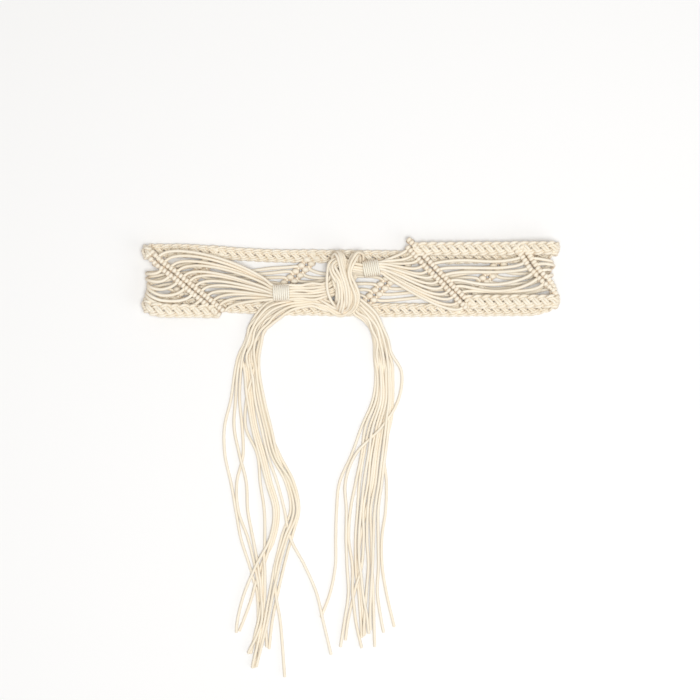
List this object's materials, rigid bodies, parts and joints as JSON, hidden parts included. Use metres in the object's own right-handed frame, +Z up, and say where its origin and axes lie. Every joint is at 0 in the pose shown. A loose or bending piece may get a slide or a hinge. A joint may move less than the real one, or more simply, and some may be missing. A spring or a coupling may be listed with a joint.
{
  "type": "cord belt",
  "caption": "Cream cotton macrame waist belt, tied with a square knot into a flattened loop and laid flat, with two long cord tassels.",
  "frame": {"origin": "centre of the footprint, on the surface that the belt lies on", "axes": "+X along the flattened band, +Y across it, away from the tassels, +Z up from the surface"},
  "size_m": [0.376, 0.3906, 0.032],
  "materials": {
    "knotted_cord": "smooth braided cotton cord, undyed cream, matt",
    "whipping_cord": "thin smooth cotton cord wound closely, undyed cream, matt",
    "tie_cord": "smooth braided cotton cord, undyed cream, matt"
  },
  "bodies": {
    "root": {"band_back": "knotted_cord", "band_front_right": "knotted_cord", "band_front_left": "knotted_cord", "whipping_right": "whipping_cord", "whipping_left": "whipping_cord", "knot": "tie_cord", "tassel_left": "tie_cord", "tassel_right": "tie_cord"}
  },
  "joints": []
}
